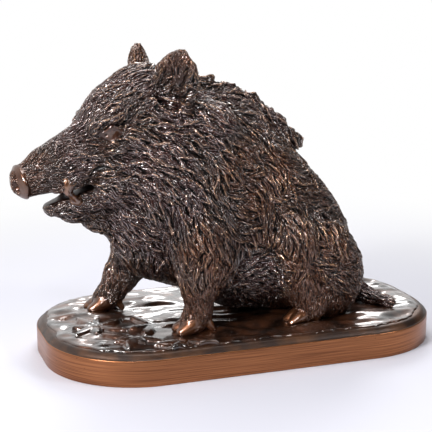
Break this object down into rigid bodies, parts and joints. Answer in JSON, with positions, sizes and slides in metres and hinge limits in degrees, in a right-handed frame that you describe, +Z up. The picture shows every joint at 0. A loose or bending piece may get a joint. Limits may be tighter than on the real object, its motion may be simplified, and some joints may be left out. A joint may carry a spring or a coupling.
{
  "type": "boar sculpture",
  "caption": "Seated wild boar in patinated cast bronze with braced forelegs, upright ears and a shaggy coat, on a low plinth with rounded ends.",
  "frame": {"origin": "centre of the plinth's flat underside", "axes": "+X along the plinth towards the boar's tail (the boar faces -X), +Y towards the boar's right side, +Z up"},
  "size_m": [0.3204, 0.1626, 0.2244],
  "materials": {
    "rubbed_bronze": "brushed brown bronze rim, dark glossy modelled ground",
    "patinated_bronze": "dark brown patina, waxed, rubbed warmer on the raised hair"
  },
  "bodies": {
    "root": {"plinth": "rubbed_bronze", "boar": "patinated_bronze"}
  },
  "joints": []
}
